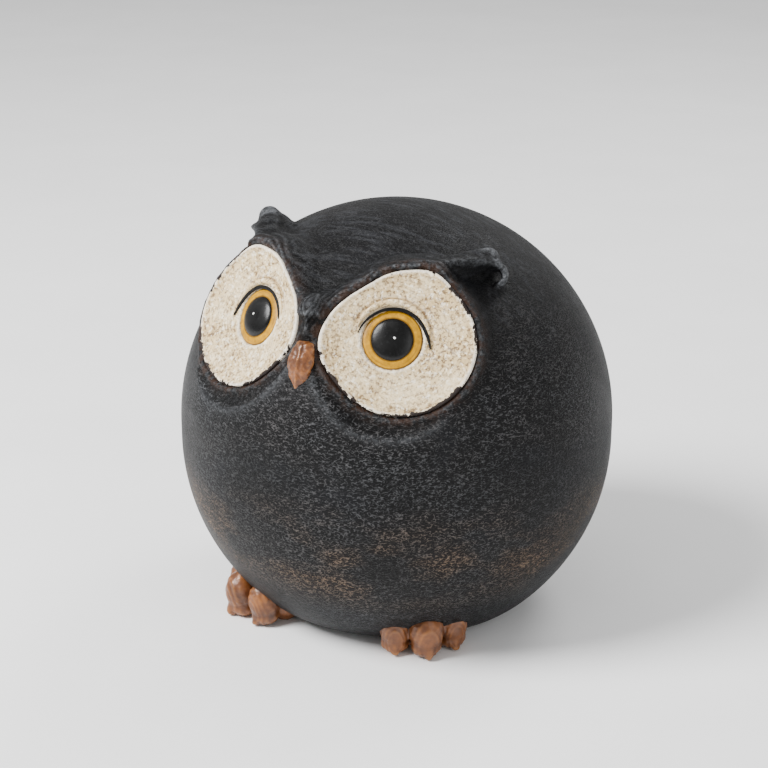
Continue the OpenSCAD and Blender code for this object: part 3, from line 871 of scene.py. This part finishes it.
# %% Copper paint
def copper_paint():
    material, tree = new_material("copper_bronzing_painted_light_over_brown")
    place = add(tree, "TexCoord").outputs["Object"]
    stroke = grain(tree, place, 1.6, kind="RIDGED_MULTIFRACTAL", detail=3, rough=0.65, warp=0.8)
    cloud = grain(tree, place, 6, detail=4)
    colour = ramp(tree, cloud, (0.3, linear("#3c1f0c")), (0.5, linear("#653816")), (0.72, linear("#8a5122")))
    # Raised edges lightened: rubbed bronzing plus a painted highlight
    rubbed = math_node(tree, "ADD", math_node(tree, "MULTIPLY", attribute(tree, "ridge"), 0.9),
                       math_node(tree, "MULTIPLY", ramp(tree, stroke, (0.45, 0.0), (0.65, 1.0)), 0.28),
                       clamp=True)
    colour = mix(tree, rubbed, colour, linear("#b6793c"))
    # Grooves darkened: the dark ground plus painted shade
    colour = mix(tree, math_node(tree, "MULTIPLY", attribute(tree, "crease"), 0.7, clamp=True), colour,
                 linear("#1d0c04"))
    rough = ramp(tree, cloud, (0.3, 0.34), (0.7, 0.5))
    surface(tree, colour, rough, stroke, 0.35, IOR=1.5, Metallic=0.12, Coat_Weight=0.2, Coat_Roughness=0.3)
    return material


COPPER = copper_paint()

# %% [markdown]
# ## Beak
# A short hooked wedge with a keel down its front, cut with a few knife strokes. Balls of clay of
# falling size give the wedge and a row of small ones the keel.

# %% Beak
def beak_piece():
    bm = bmesh.new()
    top, tip = Vector((1.2, -100.5, 74)), Vector((0.8, -107, 52.6))
    count = 20
    for i in range(count + 1):
        t = i / count
        wide = 7.4 * (1 - abs((t - 0.38) / 0.66) ** 1.8) ** 0.8
        place = top.lerp(tip, t) + Vector((0, -1.2 * math.sin(math.pi * t), BODY_MID / MM))
        ball(bm, place * MM, (max(wide, 0.9) * MM, (1.6 + 0.35 * wide) * MM, 1.7 * MM))
        ball(bm, (place + Vector((0, -1.2 - 0.33 * wide, 0))) * MM, 1.15 * MM)
    bm = clay(bm, 0.5 * MM, 3)
    for v in bm.verts:
        rough = noise.noise(v.co / (2.4 * MM)) * 0.4 + noise.noise(v.co / (0.9 * MM)) * 0.12
        v.co += v.normal * rough * MM
    piece = finish_piece(bm, "beak_wedge", "beak")
    relief(piece, 10, 0.35)
    piece.data.materials.append(COPPER)


beak_piece()

# %% [markdown]
# ## Feet
# Three thick toes side by side, each a knob with an almond-shaped claw pressed onto its front.
# Rings were drawn round each claw with a modelling tool.

# %% Feet
FOOT_TURN = 39
TOE_FAN = 11


def toe(bm, turn, reach, wide):
    """One toe along a turned x axis: two tall knobs and a low pad."""
    knobs = ((22, 11, 9.0, 8.4, 12.0), (8.8, 14.2, 9.2, 8.4, 12.2), (9.0, 6, 7.8, 7.6, 6.2))
    for back, up, long, broad, tall in knobs:
        place = turn @ (Vector((reach - back, 0, up)) * MM)
        ball(bm, place, (long * MM, broad * wide * MM, tall * MM), turn)


def claw(bm, turn, reach, size):
    """Almond-shaped claw that leans on the toe's front, with its point on the ground."""
    lean = turn @ Matrix.Rotation(math.radians(66), 4, "Y")
    place = turn @ (Vector((reach - 4.6, 0, CLAW_UP)) * MM)
    ball(bm, place, (9.2 * size * MM, 3.8 * size * MM, 3.2 * MM), lean)
    ball(bm, turn @ (Vector((reach - 3.4, 0, 2.8)) * MM), (3.2 * MM, 2.7 * MM, 2.7 * MM), turn)


CLAW_UP = 9
TOES = ((0, 99.2, 1.12, 1.0), (-TOE_FAN, 93, 1.04, 0.74), (TOE_FAN, 92.5, 1.02, 0.74))
# The left foot was pressed a little further in under the body than the right one
SET_IN = {"left": 3.0, "right": -3.0}


def foot_piece(side):
    bm = bmesh.new()
    turns = [Matrix.Rotation(math.radians(FOOT_TURN + fan - 90), 4, "Z") for fan, *_ in TOES]
    toes = [(reach - SET_IN[side], wide, size) for _, reach, wide, size in TOES]
    for turn, (reach, wide, size) in zip(turns, toes):
        toe(bm, turn, reach, wide)
        claw(bm, turn, reach, size)
    bm = clay(bm, 0.75 * MM, 3)
    bm.normal_update()
    for v in bm.verts:
        # Rings drawn round each claw with a modelling tool
        groove = 0
        for turn, (reach, wide, size) in zip(turns, toes):
            local = turn.inverted() @ v.co / MM
            away = math.hypot(local.y / size, (local.z - CLAW_UP) * 0.55 / size)
            strength = (ease((local.x - reach + 14) / 6) * ease((9.5 - abs(local.y)) / 2)
                        * ease((away - 3.2) / 1.0))
            drawn = 0.4 + 0.6 * ease(noise.noise(v.co / (7 * MM)) + 0.5)
            groove += 0.2 * strength * drawn * math.sin(math.tau * away / 2.3)
        rough = noise.noise(v.co / (5 * MM)) * 0.45 + noise.noise(v.co / (1.8 * MM)) * 0.13
        v.co += v.normal * (groove + rough) * MM
        v.co.z = max(v.co.z, 0.05 * MM)
    if side == "right":
        bmesh.ops.transform(bm, matrix=MIRROR, verts=bm.verts)
        bmesh.ops.reverse_faces(bm, faces=bm.faces)
    piece = finish_piece(bm, f"foot_toes_{side}", f"foot_{side}")
    relief(piece, 12, 0.75)
    piece.data.materials.append(COPPER)


for side in ("left", "right"):
    foot_piece(side)

# %% [markdown]
# ## Underside
# The base plate, its rubber plug and the felt pads are right as they stand in the CAD frame, so
# they keep their CAD shape and only get their own finish.

# %% Base plate, plug and pads
def rubber():
    material, tree = new_material("black_moulded_rubber")
    place = add(tree, "TexCoord").outputs["Object"]
    bloom = grain(tree, place, 2.5, detail=4)
    surface(tree, ramp(tree, bloom, (0.3, linear("#171717")), (0.7, linear("#2c2b2a"))),
            ramp(tree, bloom, (0.3, 0.55), (0.7, 0.75)), bloom, 0.1, IOR=1.52)
    return material


def felt():
    material, tree = new_material("grey_needled_felt")
    place = add(tree, "TexCoord").outputs["Object"]
    fibre = grain(tree, place, 0.6, kind="RIDGED_MULTIFRACTAL", detail=3, warp=1.0)
    surface(tree, ramp(tree, fibre, (0.3, linear("#35322f")), (0.7, linear("#6e6862"))), 0.95, fibre, 0.4,
            IOR=1.45, Sheen_Weight=0.4)
    return material


def plate_paint():
    material, tree = new_material("charcoal_acrylic_plain")
    place = add(tree, "TexCoord").outputs["Object"]
    mottle = grain(tree, place, 9, detail=4)
    surface(tree, ramp(tree, mottle, (0.3, linear("#1a1a1c")), (0.7, linear("#2f2f32"))),
            ramp(tree, mottle, (0.3, 0.5), (0.7, 0.65)), grain(tree, place, 1.2), 0.2, IOR=1.5)
    return material


for node, finish in (("base_plate", plate_paint()), ("vent_plug", rubber()), ("felt_pads", felt())):
    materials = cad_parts[node].data.materials
    materials.clear()
    materials.append(finish)

# %% [markdown]
# ## Floor and light
# A plain pale sweep and three large soft lamps: the key from the left and above, a weak fill from
# the right, and one behind that draws a thin light along the crown.

# %% Floor and lamps
def floor_paint():
    material, tree = new_material("white_studio_board")
    place = add(tree, "TexCoord").outputs["Object"]
    tone = grain(tree, place, 60, detail=2)
    surface(tree, ramp(tree, tone, (0.3, linear("#f4f4f4")), (0.7, linear("#f8f8f8"))), 0.85, tone, 0.01)
    return material


bm = bmesh.new()
bmesh.ops.create_grid(bm, x_segments=1, y_segments=1, size=6)
mesh = bpy.data.meshes.new("floor")
bm.to_mesh(mesh)
bm.free()
floor = bpy.data.objects.new("floor", mesh)
bpy.context.scene.collection.objects.link(floor)
floor.data.materials.append(floor_paint())

world = bpy.data.worlds.new("studio")
world.use_nodes = True
world.node_tree.nodes["Background"].inputs["Color"].default_value = linear("#ffffff")
world.node_tree.nodes["Background"].inputs["Strength"].default_value = 0.62
bpy.context.scene.world = world


def lamp(name, place, size, power):
    light = bpy.data.lights.new(name, "AREA")
    light.shape = "DISK"
    light.size = size
    light.energy = power
    holder = bpy.data.objects.new(name, light)
    holder.location = place
    holder.rotation_euler = (Vector((0, 0, BODY_MID)) - Vector(place)).to_track_quat("-Z", "Y").to_euler()
    bpy.context.scene.collection.objects.link(holder)


lamp("key", (-0.9, -1.1, 1.5), 0.9, 92)
lamp("fill", (1.5, -0.6, 0.7), 1.2, 8)
lamp("crown", (0.3, 1.2, 1.4), 0.8, 14)
